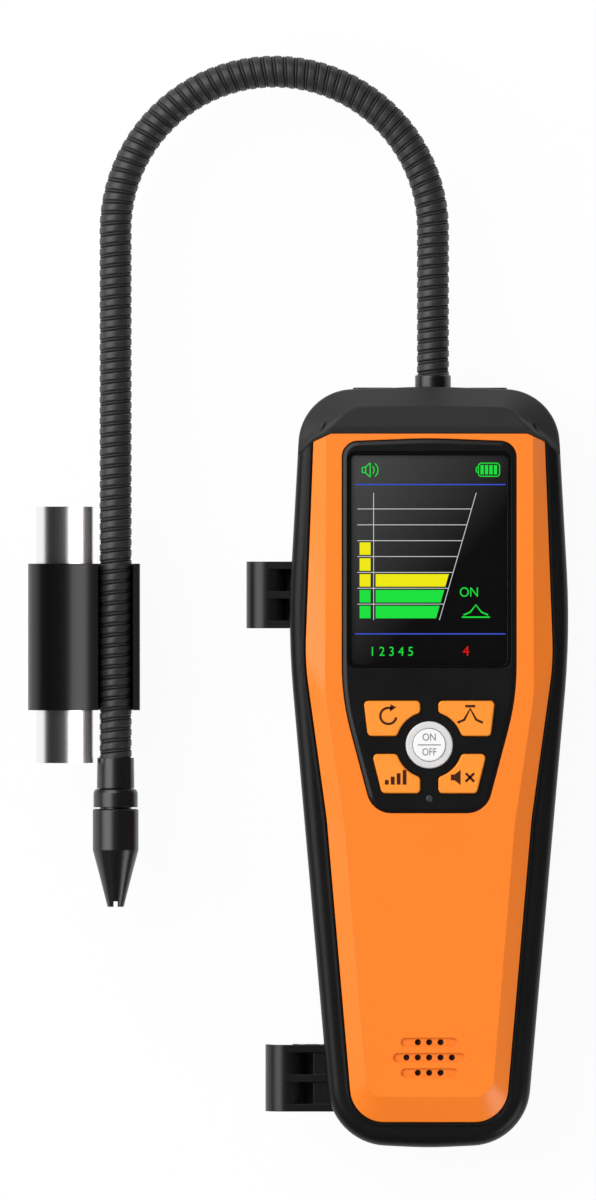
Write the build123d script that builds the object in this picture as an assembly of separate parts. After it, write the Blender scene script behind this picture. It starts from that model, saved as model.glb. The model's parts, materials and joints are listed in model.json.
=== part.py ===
from build123d import *
from math import cos, radians, sin
import os

# Gas detector with a gooseneck probe, lying on its back, in millimetres.
# X points to the right of the display, Y to the gooseneck end, Z out of the display.
# The origin is the middle of the flat back.

# Case
case_length = 180.0
case_depth = 34.5
case_head_half = 33.4
case_top_half = 30.2
case_tail_half = 22.8
head_from_top = 58.0
top_corner = 13.0
top_crown = 1.1
top_blend = 120.0
tail_corner = 14.2
tail_crown = 1.1
tail_blend = 96.0
side_blend = 200.0
back_edge = 6.0
wall = 2.2
split_z = 18.0

# Orange front
front_wall = 1.8
front_skin = 1.8
front_gap = 0.25
bevel_height = 2.9
front_head_half = 29.3
front_top_half = 27.0
front_waist_half = 24.2
front_tail_half = 18.0
front_head_from_top = 65.0
front_waist_from_top = 102.0
front_tail_rim = 6.2
front_tail_corner = 8.0
front_side_blend = 60.0
front_top_corner = 6.0
front_under_cap = 4.4
flat_head_half = 24.7
flat_head_from_top = 73.0
flat_waist_half = 20.2
flat_waist_from_top = 103.5
flat_tail_half = 14.9
flat_tail_rim = 12.2
flat_tail_corner = 4.5
flat_waist_blend = 20.0
flat_head_blend = 30.0
flat_top_half = 24.5
rim_wall = 1.1
slope_wall = 1.6

# Black frame and cap
rim_drop = 0.5
frame_edge = 3.0
lip_width = 0.7
lip_height = 0.3
lip_round = 0.24
cap_length = 11.1
cap_flank = 4.5
cap_flat_half = 23.2
cap_elbow_half = 27.2
cap_elbow_drop = 1.85
cap_proud = 0.8
cap_slope_height = 6.5
cap_facet_half = 24.4
cap_facet_inset = 5.1
cap_facet_cut = 5.7
cap_facet_corner = 6.0
cap_facet_flare = 0.3
cap_facet_crown = 0.37
cap_facet_bend = 2.0
cap_foot_corner = 1.0
cap_round = 1.4
cap_lip_length = 1.4
cap_lip_drop = 0.8
cap_lip_fade = 1.3
cap_gap = 0.15
cap_skirt_length = 8.1

# Display and keypad
display_from_top = 41.0
screen_width = 36.6
screen_height = 49.1
screen_corner = 1.0
window_margin = 1.0
window_thickness = 0.8
window_drop = 0.2
bezel_side = 2.3
bezel_above_screen = 4.15
bezel_crown = 0.8
bezel_straight = 61.4
bezel_tail_half = 13.4
bezel_height = 88.5
bezel_corner = 3.8
bezel_tail_corner = 5.8
bezel_shoulder = 60.0
bezel_slope = 1.1
bezel_slope_drop = 0.35
bezel_flange = 1.0
bezel_flange_thickness = 0.7
bezel_drop = 0.2
module_side = 3.0
module_end = 5.5
key_split = 2.15
key_rows = {"upper": (2.1, 10.4, 14.5, 15.5), "lower": (-11.4, -2.15, 11.2, 13.5)}
key_ring_gap = 2.35
key_rise = 0.7
key_travel = 0.6
key_clearance = 0.2
key_flange = 0.5
key_flange_thickness = 0.8
key_stem = 0.9
key_corner = 1.0
key_chamfer = 0.25
power_radius = 3.85
power_clearance = 0.1
power_ring_rise = 0.4
power_ring_radius = 5.55
power_below_screen = 19.15
light_below_power = 12.66
light_radius = 0.8
light_rise = 0.2

# Sounder grille
grille_from_tail = 21.5
hole_radius = 0.72
hole_pitch = 2.68
row_pitch = 3.6
grille_rows = ((1, 3, 13.3), (0, 5, 16.9), (-1, 3, 13.3))
slot_width = 2.03
slot_depth = 0.5
speaker_radius = 10.0
speaker_rim = 1.2
speaker_height = 4.2
magnet_radius = 6.5

# Boards, screws and works
board_drop = 6.3
board_thickness = 1.6
board_clear = 2.0
board_margin = 1.0
switch_size = 4.5
switch_height = 1.0
switch_gap = 0.2
actuator_radius = 1.2
case_screw_from_top = 24.0
case_screw_from_tail = 14.5
case_screw_depth = 7.0
board_screw_from_top = (60.0, 112.0)
board_screw_depth = 3.0
post_radius = 2.8
post_gap = 0.3
head_post_outset = 2.0
tail_post_inset = 0.9
head_board_post_inset = 1.2
waist_board_post_inset = 3.6
post_root = 0.1
screw_radius = 1.1
screw_head_radius = 2.2
screw_head_height = 1.6
drive_reach = 1.2
drive_half = 0.25
drive_depth = 0.7
board_screw_radius = 0.9
board_screw_head_radius = 1.7
board_screw_head_height = 1.1
board_post_radius = 2.0
fit = 0.05
seat_gap = 0.1
battery_width = 34.0
battery_length = 65.0
battery_thickness = 10.5
battery_edge = 2.0
battery_from_tail = 19.5
bay_gap = 7.5
works_x = 13.25
motor_radius = 7.75
motor_length = 22.0
motor_boss_radius = 2.5
motor_boss_length = 1.5
pump_size = 16.0
pump_length = 14.0
pump_edge = 2.0
cell_radius = 6.0
cell_bore = 4.8
cell_length = 42.0
cell_end_length = 2.0
cell_end_plug = 3.0
cell_end_step = 0.4
nipple_inset = 4.0
cell_nipple_inset = 6.0
hose_rise = 5.0
hose_radius = 1.6
hose_bore = 0.9
hose_tight_bend = 3.0
hose_easy_bend = 6.0
hose_wide_bend = 8.0
hose_high_rise = 2.5
hose_straight = 12.0
pump_hose_run = 14.0
nipple_radius = 0.85
nipple_height = 1.8
nipple_root = 1.0

# Top end
pad_length = 9.7
pad_width = 4.2
pad_proud = 0.4
pad_recess = 0.8
pad_corner = 1.5
pad_edge = 0.25
pad_z = 11.0
socket_width = 9.0
socket_height = 3.2
socket_length = 7.2
socket_wall = 0.4
socket_round_share = 0.8
mouth_round_share = 0.9
socket_end = 1.0
socket_board = (11.0, 13.0, 1.2)
socket_board_gap = 1.5
plug_length = 2.0
plug_gap = 0.2
vent_slot = (1.0, 2.6)
vent_slot_pitch = 2.4
port_x = -13.1
vent_x = 13.8

# Gooseneck and its loop
neck_x = 1.0
neck_radius = 3.8
neck_bore = 1.75
collar_radius = 4.25
collar_flange = 6.5
collar_flange_thickness = 2.8
collar_height = 2.8
collar_edge = 0.4
bend_gap = 0.2
bend_range = 30.0
cup_gap = 0.3
loop_rise = 34.3
loop_radius = 37.6
leg_length = 128.0

# Probe
sleeve_radius = 4.45
sleeve_length = 7.2
ring_radius = 5.25
ring_length = 4.5
nozzle_radius = 5.43
nozzle_body = 9.7
nozzle_cone = 13.5
nozzle_tip = 1.93
nozzle_shoulder = (1.5, 0.42)
nozzle_wall = 1.7
nozzle_gap = 0.4
nozzle_edge = 0.3
nozzle_throat = 0.8
nozzle_throat_share = (0.2, 0.5)
slot_across = 1.0
slot_deep = 1.3
spigot_length = 5.0
sleeve_grip = 3.0
sleeve_stop_gap = 0.2
sleeve_taper = 0.1
ring_step = (0.9, 0.3, 0.3, 1.0)
tip_bore = 1.0

# Clips
clip_length = 34.7
clip_from_crown = 79.0
sleeve_wall = 1.95
tube_radius = 6.75
tube_wall = 1.0
tube_length = 60.7
tube_offset = 12.0
tube_overhang = 13.5
channel_gap = 0.3
channel_wall = 1.65
channel_lip = 3.2
channel_overlap = 3.3
stow_length = 15.8
stow_wall = 0.9
stow_inner = 3.85
stow_rib = 1.8
stow_mouth = 96.0
stow_mouth_turn = 22.0
stow_plate = 1.2
stow_pocket_end = 6.6
stow_relief = 0.35
stow_upper_from_top = 49.3
stow_lower_from_tail = 16.3
stow_upper_reach = 43.2
stow_lower_reach = 38.7
arm_thickness = 1.3
under_arm_z = 3.3
under_arm_root = 1.0
mouth_reach = 20.0

# Cuts run this far past the faces they open
past = 1.0

# Places worked out from the sizes above
top_y = case_length / 2
tail_y = -case_length / 2
face_z = case_depth
rim_z = face_z - bevel_height
plate_z = face_z - front_skin
cap_y = top_y - cap_length
screen_y = top_y - display_from_top
bezel_half = screen_width / 2 + bezel_side
bezel_top = screen_y + screen_height / 2 + bezel_above_screen
power_y = screen_y - screen_height / 2 - power_below_screen
light_y = power_y - light_below_power
bezel_z = face_z - bezel_drop
flange_z = plate_z - bezel_flange_thickness
window_z = bezel_z - window_drop - window_thickness
board_z = face_z - board_drop
key_base_z = flange_z - key_travel - key_stem
grille_y = tail_y + grille_from_tail
battery_top = tail_y + battery_from_tail + battery_length
bay_y = battery_top + bay_gap
neck_z = split_z
key_clear_radius = power_ring_radius + key_ring_gap
bend_rise = neck_radius * sin(radians(bend_range)) + seat_gap
collar_seat = top_y - wall - seat_gap - top_crown * (neck_x + collar_flange) / case_top_half
pivot_y = top_y + collar_height + bend_rise
loop_y = pivot_y + loop_rise - bend_rise
leg_x = neck_x - 2 * loop_radius
crown_x = neck_x - loop_radius
crown_y = loop_y + loop_radius
leg_end_y = loop_y - leg_length


def rounded_face(points, corners, z=0.0):
    """Flat face inside a closed outline with rounded corners."""
    outline = FilletPolyline(*points, radius=corners, close=True)
    return Pos(0, 0, z) * make_face(outline.edges())


def both_sides(right_side):
    """Right-hand points, then the same points on the left in reverse."""
    return right_side + [(-x, y) for x, y in reversed(right_side)]


def slab(face, z_low, z_high):
    """Solid over a face drawn at z = 0, between two heights."""
    return Pos(0, 0, z_low) * extrude(face, z_high - z_low)


def rod(x, y, z_low, z_high, radius):
    """Upright cylinder."""
    height = z_high - z_low
    return Pos(x, y, (z_low + z_high) / 2) * Cylinder(radius, height)


def rod_along_y(x, z, y_low, y_high, radius):
    """Cylinder that lies along Y."""
    return Pos(x, (y_low + y_high) / 2, z) * Rot(X=90) * Cylinder(radius, y_high - y_low)


def block(x, y, z):
    """Box between two values on each axis."""
    size = [high - low for low, high in (x, y, z)]
    middle = [(high + low) / 2 for low, high in (x, y, z)]
    return Pos(*middle) * Box(*size)


def case_face():
    """Outline of the whole case, seen from the front."""
    side = [
        (case_tail_half, tail_y + tail_crown),
        (case_head_half, top_y - head_from_top),
        (case_top_half, top_y - top_crown),
    ]
    corners = [tail_corner, side_blend, top_corner]
    left = [(-x, y) for x, y in reversed(side)]
    points = [(0, tail_y)] + side + [(0, top_y)] + left
    return rounded_face(points, [tail_blend] + corners + [top_blend] + corners[::-1])


def front_face():
    """Outer outline of the orange front."""
    side = [
        (front_tail_half, tail_y + front_tail_rim),
        (front_waist_half, top_y - front_waist_from_top),
        (front_head_half, top_y - front_head_from_top),
        (front_top_half, top_y - front_under_cap),
    ]
    corners = [front_tail_corner, front_side_blend, front_side_blend, front_top_corner]
    return rounded_face(both_sides(side), corners + corners[::-1])


def flat_face():
    """Outline of the flat inside the bevels of the orange front."""
    side = [
        (flat_tail_half, tail_y + flat_tail_rim),
        (flat_waist_half, top_y - flat_waist_from_top),
        (flat_head_half, top_y - flat_head_from_top),
        (flat_top_half, top_y - front_under_cap),
    ]
    corners = [flat_tail_corner, flat_waist_blend, flat_head_blend, front_top_corner]
    return rounded_face(both_sides(side), corners + corners[::-1])


def cap_edge_y(x):
    """Y of the cap's lower edge at a distance from the middle: flat, shallow, then steep."""
    shallow = cap_elbow_drop / (cap_elbow_half - cap_flat_half)
    steep = (cap_flank - cap_elbow_drop) / (case_top_half - cap_elbow_half)
    if x <= cap_elbow_half:
        return cap_y - shallow * max(0, x - cap_flat_half)
    return cap_y - cap_elbow_drop - steep * (x - cap_elbow_half)


def above_cap_line(drop=0.0):
    """Everything on the cap's side of its lower edge, moved down by drop."""
    reach = 2 * case_head_half
    edge = [(x, cap_edge_y(x) - drop) for x in (cap_flat_half, cap_elbow_half, reach)]
    edge.append((reach, top_y + reach))
    outline = Polyline(*both_sides(edge), close=True)
    return slab(make_face(outline.edges()), 0, 2 * case_depth)


def screw_places():
    """Centres of the four case screws."""
    head_x = front_top_half - front_wall - post_radius + head_post_outset
    tail_x = front_tail_half - front_wall - post_radius - tail_post_inset
    return [(s * head_x, top_y - case_screw_from_top) for s in (-1, 1)] + [
        (s * tail_x, tail_y + case_screw_from_tail) for s in (-1, 1)
    ]


def board_screw_places():
    """Centres of the four circuit board screws."""
    head_x = front_head_half - front_wall - board_post_radius - head_board_post_inset
    waist_x = front_waist_half - front_wall - board_post_radius - waist_board_post_inset
    upper, lower = board_screw_from_top
    return [(s * head_x, top_y - upper) for s in (-1, 1)] + [
        (s * waist_x, top_y - lower) for s in (-1, 1)
    ]


def end_y(x):
    """Y of the crowned top end at a distance from the middle."""
    return top_y - top_crown * abs(x) / case_top_half


def pad_face(x, grow=0.0):
    """Oblong of the pads on the top end, drawn on the plane of the top end."""
    top_plane = Plane((x, end_y(x), pad_z), x_dir=(1, 0, 0), z_dir=(0, 1, 0))
    size = (pad_length + 2 * grow, pad_width + 2 * grow)
    return top_plane * RectangleRounded(*size, pad_corner)


def collar_cut():
    """Hole for the collar through the end of the case."""
    return rod_along_y(neck_x, neck_z, top_y - 2 * wall, top_y + past, collar_radius + fit)


def make_rear_shell():
    """Back half of the case with its screw posts and the recesses of the top end."""
    shell = slab(case_face(), 0, split_z)
    shell = fillet(shell.edges().group_by(Axis.Z)[0], back_edge)
    cavity = slab(offset(case_face(), -wall), wall, split_z + past)
    cavity = fillet(cavity.edges().group_by(Axis.Z)[0], back_edge - wall)
    shell -= cavity
    for x, y in screw_places():
        shell += rod(x, y, wall / 2, split_z, post_radius)
    for x, y in screw_places():
        shell -= rod(x, y, -past, split_z + past, screw_radius + fit)
        shell -= rod(x, y, -past, 2 * wall, screw_head_radius + 2 * fit)
    shell -= collar_cut()
    for x in (port_x, vent_x):
        shell -= extrude(pad_face(x, fit), -pad_recess) + extrude(pad_face(x, fit), wall)
    half = socket_width / 2 + fit
    rise = socket_height / 2 + fit
    shell -= block(
        (port_x - half, port_x + half), (top_y - 2 * wall, top_y), (pad_z - rise, pad_z + rise)
    )
    shell -= rod_along_y(vent_x, pad_z, top_y - 2 * wall, top_y, hose_radius + fit)
    return shell


def make_bumper_frame():
    """Black frame round the orange front, with a thin lip beside it, open at the cap."""
    frame_z = rim_z - rim_drop
    frame = slab(case_face(), split_z, frame_z)
    frame = fillet(frame.edges().group_by(Axis.Z)[-1], frame_edge)
    lip = slab(offset(front_face(), front_gap + lip_width), split_z, frame_z + lip_height)
    frame += fillet(lip.edges().group_by(Axis.Z)[-1], lip_round)
    frame -= slab(offset(front_face(), front_gap), 0, case_depth)
    return frame - above_cap_line()


def case_side_x(y):
    """Half width of the case between its head and its top corners."""
    share = (top_y - top_crown - y) / (head_from_top - top_crown)
    return case_top_half + share * (case_head_half - case_top_half)


def cap_outline():
    """Case outline at the cap, as corners that match those of the cap's front."""
    reach_y = cap_y - cap_skirt_length
    middle_y = cap_y - cap_skirt_length / 2
    side = [
        (case_side_x(reach_y) - seat_gap, reach_y),
        (case_side_x(middle_y), middle_y),
        (case_top_half, top_y - top_crown),
    ]
    left = [(-x, y) for x, y in reversed(side)]
    corners = [cap_foot_corner, case_top_half, top_corner]
    return rounded_face(side + [(0, top_y)] + left, corners + [top_blend] + corners[::-1])


def cap_facet():
    """Outline of the cap's flat front, cut off at its corners."""
    reach_y = cap_y - cap_skirt_length
    facet_top = top_y - cap_facet_inset
    side = [
        (cap_facet_half + cap_facet_flare, reach_y),
        (cap_facet_half, facet_top - cap_facet_cut),
        (cap_facet_half - cap_facet_cut, facet_top),
    ]
    left = [(-x, y) for x, y in reversed(side)]
    corners = [cap_foot_corner, cap_facet_bend, cap_facet_corner]
    points = side + [(0, facet_top + cap_facet_crown)] + left
    return rounded_face(points, corners + [top_blend] + corners[::-1])


def cap_front_z(x):
    """Height of the cap's front, near its lower edge, at a distance from the middle."""
    fall = cap_slope_height / (case_side_x(cap_y) - cap_facet_half)
    return face_z + cap_proud - fall * max(0, x - cap_facet_half)


def lip_section(x, depth):
    """Section of the cut that bevels the cap's lower edge, on one side of the middle."""
    y, z = cap_edge_y(abs(x)), cap_front_z(abs(x))
    inner_y = y + depth * cap_lip_length / cap_lip_drop
    section = [
        (x, y - past, z - depth),
        (x, y, z - depth),
        (x, inner_y, z),
        (x, inner_y, z + past),
        (x, y - past, z + past),
    ]
    return make_face(Polyline(*section, close=True).edges())


def lip_cut():
    """Bevel along the cap's lower edge that fades out beside the frame."""
    places = [
        (cap_flat_half, cap_lip_drop),
        (cap_facet_half, cap_lip_drop),
        (cap_elbow_half, cap_lip_drop),
        (cap_elbow_half + cap_lip_fade, fit),
    ]
    right = [lip_section(x, depth) for x, depth in places]
    left = [lip_section(-x, depth) for x, depth in reversed(places)]
    return loft(left + right, ruled=True)


def make_top_cap():
    """Cap over the top end: rounded side, slope and a flat front with a bevelled lower lip."""
    front_z = face_z + cap_proud
    shoulder_z = front_z - cap_slope_height
    slope = loft([Pos(0, 0, shoulder_z) * cap_outline(), Pos(0, 0, front_z) * cap_facet()], ruled=True)
    cap = slab(cap_outline(), split_z, shoulder_z) + slope
    shoulder = cap.edges().filter_by_position(Axis.Z, shoulder_z - fit, shoulder_z + fit)
    cap = fillet(shoulder.filter_by_position(Axis.Y, cap_y, top_y + past), cap_round)
    cap -= slab(offset(case_face(), -wall), 0, shoulder_z)
    inside = offset(case_face(), -wall - cap_facet_inset / 2)
    cap -= slab(inside, 0, plate_z)
    cap &= above_cap_line()
    cap -= lip_cut()
    cap -= collar_cut()
    return cap


def make_front_shell():
    """Orange front: bevelled plate, walls, screw posts, keypad opening and grille."""
    outer = slab(front_face(), split_z, rim_z)
    bevel = loft([Pos(0, 0, rim_z) * front_face(), Pos(0, 0, face_z) * flat_face()], ruled=True)
    outer += bevel
    inside = slab(offset(front_face(), -front_wall), 0, rim_z - rim_wall)
    inside += slab(offset(front_face(), -front_wall - slope_wall), 0, plate_z)
    posts = Part()
    for x, y in screw_places():
        posts += rod(x, y, split_z, plate_z + post_root, post_radius)
    for x, y in board_screw_places():
        posts += rod(x, y, board_z, plate_z + post_root, board_post_radius)
    shell = outer - inside + (posts & outer)
    for x, y in screw_places():
        shell -= rod(x, y, 0, split_z + case_screw_depth + 2 * past, screw_radius)
    for x, y in board_screw_places():
        shell -= rod(x, y, 0, board_z + board_screw_depth + seat_gap, board_screw_radius)
    shell -= slab(offset(bezel_face(), fit), flange_z, face_z + past)
    shell -= grille_cut()
    return shell - above_cap_line(cap_gap)


def grille_cut():
    """Three oblong recesses, each with its row of through holes."""
    cut = Part()
    for row, holes, length in grille_rows:
        y = grille_y + row * row_pitch
        recess = Pos(0, y, 0) * SlotOverall(length, slot_width)
        cut += slab(recess, face_z - slot_depth, face_z + past)
        for step in range(holes):
            x = (step - (holes - 1) / 2) * hole_pitch
            cut += rod(x, y, plate_z - past, face_z, hole_radius)
    return cut


def bezel_face():
    """Outline of the display and keypad bezel."""
    side = [
        (bezel_tail_half, bezel_top - bezel_height),
        (bezel_half, bezel_top - bezel_straight),
        (bezel_half, bezel_top - bezel_crown),
    ]
    left = [(-x, y) for x, y in reversed(side)]
    corners = [bezel_tail_corner, bezel_shoulder, bezel_corner]
    return rounded_face(side + [(0, bezel_top)] + left, corners + [top_blend] + corners[::-1])


def key_face(name):
    """Outline of an orange key, hollowed round the power key."""
    row, hand = name.split("_")
    side = -1 if hand == "left" else 1
    low, high, low_half, high_half = key_rows[row]
    corners = [
        (side * key_split, power_y + low),
        (side * low_half, power_y + low),
        (side * high_half, power_y + high),
        (side * key_split, power_y + high),
    ]
    face = make_face(Polyline(*corners, close=True).edges())
    face -= Pos(0, power_y) * Circle(key_clear_radius)
    return fillet(face.vertices(), key_corner)


key_names = ["upper_left", "upper_right", "lower_left", "lower_right"]


def make_key(name):
    """Key with a retaining flange under the bezel."""
    face = key_face(name)
    key = slab(face, key_base_z, bezel_z + key_rise)
    key = chamfer(key.edges().group_by(Axis.Z)[-1], key_chamfer)
    flange = slab(offset(face, key_flange), key_base_z, key_base_z + key_flange_thickness)
    return key + flange


def make_power_key():
    """Round key with its flange."""
    key = rod(0, power_y, key_base_z, bezel_z + key_rise, power_radius)
    key = fillet(key.edges().group_by(Axis.Z)[-1], key_chamfer)
    flange_top = key_base_z + key_flange_thickness
    return key + rod(0, power_y, key_base_z, flange_top, power_radius + key_flange)


def make_power_ring():
    """Light ring in its recess round the power key."""
    top = bezel_z + power_ring_rise
    ring = rod(0, power_y, window_z, top, power_ring_radius)
    ring = fillet(ring.edges().group_by(Axis.Z)[-1], power_ring_rise)
    return ring - rod(0, power_y, 0, 2 * case_depth, power_radius + power_clearance)


def make_display_bezel():
    """Bezel with the window recess, key openings and a flange behind the front."""
    slope_z = bezel_z - bezel_slope_drop
    bezel = slab(bezel_face(), flange_z, slope_z)
    bezel += loft(
        [Pos(0, 0, slope_z) * bezel_face(), Pos(0, 0, bezel_z) * offset(bezel_face(), -bezel_slope)],
        ruled=True,
    )
    bezel += slab(offset(bezel_face(), bezel_flange), flange_z, plate_z)
    screen = Pos(0, screen_y) * RectangleRounded(
        screen_width + 2 * seat_gap, screen_height + 2 * seat_gap, screen_corner
    )
    bezel -= slab(screen, 0, face_z + past)
    bezel -= slab(window_face(fit), window_z, face_z + past)
    for name in key_names:
        bezel -= slab(offset(key_face(name), key_clearance), 0, face_z + past)
    bezel -= rod(0, power_y, 0, face_z + past, power_radius + key_clearance)
    bezel -= rod(0, power_y, window_z, face_z + past, power_ring_radius + fit)
    bezel -= rod(0, light_y, 0, face_z + past, light_radius + fit)
    return bezel


def window_face(grow=0.0):
    """Outline of the display window."""
    width = screen_width + 2 * window_margin + 2 * grow
    height = screen_height + 2 * window_margin + 2 * grow
    return Pos(0, screen_y) * RectangleRounded(width, height, screen_corner + window_margin)


def make_display_window():
    """Clear window over the screen."""
    return slab(window_face(), window_z, window_z + window_thickness)


def make_lcd_panel():
    """Display module with its raised screen in the bezel's opening."""
    base = Pos(0, screen_y) * Rectangle(
        screen_width + 2 * module_side, screen_height + 2 * module_end
    )
    screen = Pos(0, screen_y) * RectangleRounded(screen_width, screen_height, screen_corner)
    panel = slab(base, board_z, flange_z)
    return panel + slab(screen, flange_z, window_z - seat_gap)


def make_main_board():
    """Circuit board, cut round the case screw posts."""
    low = grille_y + speaker_radius + board_clear
    high = screen_y + screen_height / 2 + module_end + board_margin
    face = offset(front_face(), -front_wall - post_gap)
    board = slab(face, board_z - board_thickness, board_z)
    board &= block((-case_head_half, case_head_half), (low, high), (0, case_depth))
    for x, y in screw_places():
        board -= rod(x, y, 0, case_depth, post_radius + post_gap)
    for x, y in board_screw_places():
        board -= rod(x, y, 0, case_depth, board_screw_radius + fit)
    return board


def switch_places():
    """Centres of the key switches, one under the middle of each key."""
    places = [(0, power_y)]
    for low, high, low_half, high_half in key_rows.values():
        x = (low_half + high_half) / 4 + key_split
        places += [(side * x, power_y + (low + high) / 2) for side in (-1, 1)]
    return places


def make_key_switches():
    """Five low switches, each with its round actuator."""
    half = switch_size / 2
    switches = []
    for x, y in switch_places():
        body = block((x - half, x + half), (y - half, y + half), (board_z, board_z + switch_height))
        actuator_top = key_base_z - key_travel - switch_gap
        switches.append(body + rod(x, y, board_z, actuator_top, actuator_radius))
    return switches


def make_status_light():
    """Light pipe with a domed end."""
    light = rod(0, light_y, board_z, bezel_z + light_rise, light_radius)
    light += rod(0, light_y, board_z, board_z + switch_height, 2 * light_radius)
    return fillet(light.edges().group_by(Axis.Z)[-1], light_rise)


def make_speaker():
    """Round sounder under the grille."""
    rim_low = plate_z - speaker_rim
    speaker = rod(0, grille_y, rim_low, plate_z, speaker_radius)
    return speaker + rod(0, grille_y, plate_z - speaker_height, rim_low, magnet_radius)


def screw(x, y, head_z, length, shank, head, head_height):
    """Pan head screw that points up, its head underneath."""
    body = rod(x, y, head_z, head_z + length, shank)
    cap = rod(x, y, head_z - head_height, head_z, head)
    cap = fillet(cap.edges().group_by(Axis.Z)[0], drive_half)
    long, short = (-drive_reach, drive_reach), (-drive_half, drive_half)
    depth = (0, head_z - head_height + drive_depth)
    for across, along in ((long, short), (short, long)):
        cap -= block([x + step for step in across], [y + step for step in along], depth)
    return body + cap


def make_case_screws():
    """Four screws from the back into the posts of the front."""
    length = split_z - 2 * wall + case_screw_depth
    return [
        screw(x, y, 2 * wall, length, screw_radius, screw_head_radius, screw_head_height)
        for x, y in screw_places()
    ]


def make_board_screws():
    """Four short screws under the circuit board."""
    head_z = board_z - board_thickness
    length = board_thickness + board_screw_depth
    head = (board_screw_head_radius, board_screw_head_height)
    return [screw(x, y, head_z, length, board_screw_radius, *head) for x, y in board_screw_places()]


def make_battery_pack():
    """Flat wrapped pack on the back wall."""
    low = tail_y + battery_from_tail
    pack = block(
        (-battery_width / 2, battery_width / 2),
        (low, battery_top),
        (wall + seat_gap, wall + seat_gap + battery_thickness),
    )
    return fillet(pack.edges(), battery_edge)


def make_pump_motor():
    """Round motor of the sampling pump."""
    z = wall + seat_gap + motor_radius
    motor = rod_along_y(works_x, z, bay_y, bay_y + motor_length, motor_radius)
    boss = rod_along_y(works_x, z, bay_y - motor_boss_length, bay_y, motor_boss_radius)
    return motor + boss


def make_air_pump():
    """Pump head with its inlet and outlet nipples."""
    low_y = bay_y + motor_length
    z = wall + seat_gap
    half = pump_size / 2
    head = block((works_x - half, works_x + half), (low_y, low_y + pump_length), (z, z + pump_size))
    head = fillet(head.edges().filter_by(Axis.Y), pump_edge)
    for y in pump_nipples():
        top = z + pump_size
        head += rod(works_x, y, top - nipple_root, top + nipple_height, nipple_radius)
    return head


def pump_nipples():
    """Y of the pump's inlet and outlet."""
    low_y = bay_y + motor_length
    return low_y + nipple_inset, low_y + pump_length - nipple_inset


def cell_nipples():
    """Y of the measuring cell's outlet and inlet."""
    return bay_y + cell_nipple_inset, bay_y + cell_length - cell_nipple_inset


def make_ir_cell():
    """Metal tube of the infrared measuring cell."""
    z = wall + seat_gap + cell_radius
    low, high = bay_y, bay_y + cell_length
    cell = rod_along_y(-works_x, z, low, high, cell_radius)
    for y in cell_nipples():
        cell += rod(-works_x, y, z, z + cell_radius + nipple_height, nipple_radius)
    return cell - rod_along_y(-works_x, z, low - past, high + past, cell_bore)


def make_cell_end(side):
    """Lamp or detector plugged into one end of the measuring cell."""
    z = wall + seat_gap + cell_radius
    end = bay_y if side < 0 else bay_y + cell_length
    low, high = sorted((end, end + side * cell_end_length))
    header = rod_along_y(-works_x, z, low, high, cell_radius - cell_end_step)
    low, high = sorted((end, end - side * cell_end_plug))
    return header + rod_along_y(-works_x, z, low, high, cell_bore - fit)


def hose(points, bends):
    """Soft hose along straight runs and arcs."""
    path = FilletPolyline(*points, radius=bends)
    start = Plane(origin=path @ 0, z_dir=path % 0)
    outside = sweep(start * Circle(hose_radius), path=path.wire())
    return outside - sweep(start * Circle(hose_bore), path=path.wire())


def make_sample_hose():
    """Hose from the collar to the measuring cell."""
    start_y = collar_seat - collar_flange_thickness
    cell_y = cell_nipples()[1]
    cell_top = wall + seat_gap + 2 * cell_radius
    high_z = neck_z + hose_high_rise
    points = [
        (neck_x, start_y, neck_z),
        (neck_x, start_y - hose_straight, neck_z),
        (-works_x, start_y - 2 * hose_straight, high_z),
        (-works_x, cell_y, high_z),
        (-works_x, cell_y, cell_top + seat_gap),
    ]
    return hose(points, [hose_wide_bend, hose_wide_bend, hose_tight_bend])


def make_cell_hose():
    """Hose from the measuring cell to the pump's inlet."""
    cell_y = cell_nipples()[0]
    pump_y = pump_nipples()[0]
    high_z = wall + pump_size + hose_rise
    points = [
        (-works_x, cell_y, wall + 2 * cell_radius + 2 * seat_gap),
        (-works_x, cell_y, high_z),
        (works_x, pump_y, high_z),
        (works_x, pump_y, wall + pump_size + 2 * seat_gap),
    ]
    return hose(points, [hose_tight_bend, hose_tight_bend])


def make_exhaust_hose():
    """Hose from the pump's outlet to the vent."""
    pump_y = pump_nipples()[1]
    high_z = wall + pump_size + hose_rise
    points = [
        (works_x, pump_y, wall + pump_size + 2 * seat_gap),
        (works_x, pump_y, high_z),
        (works_x, pump_y + pump_hose_run, high_z),
        (vent_x, top_y - hose_straight, pad_z),
        (vent_x, end_y(vent_x) - pad_recess - seat_gap, pad_z),
    ]
    return hose(points, [hose_tight_bend, hose_easy_bend, hose_easy_bend])


def make_charge_socket():
    """Charging socket on its small board, in the opening of the top end."""
    end = end_y(port_x) - pad_recess - 2 * seat_gap
    half, rise = socket_width / 2, socket_height / 2
    socket = block((port_x - half, port_x + half), (end - socket_length, end), (pad_z - rise, pad_z + rise))
    socket = fillet(socket.edges().filter_by(Axis.Y), socket_round_share * rise)
    half, rise = half - socket_wall, rise - socket_wall
    low = end - socket_length + socket_end
    mouth = block(
        (port_x - half, port_x + half), (low, end + past), (pad_z - rise, pad_z + rise)
    )
    socket -= fillet(mouth.edges().filter_by(Axis.Y), mouth_round_share * rise)
    width, length, thickness = socket_board
    back = end_y(port_x) - wall - socket_board_gap
    low_z = pad_z - socket_height / 2
    board = block(
        (port_x - width / 2, port_x + width / 2), (back - length, back), (low_z - thickness, low_z)
    )
    return socket + board


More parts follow.
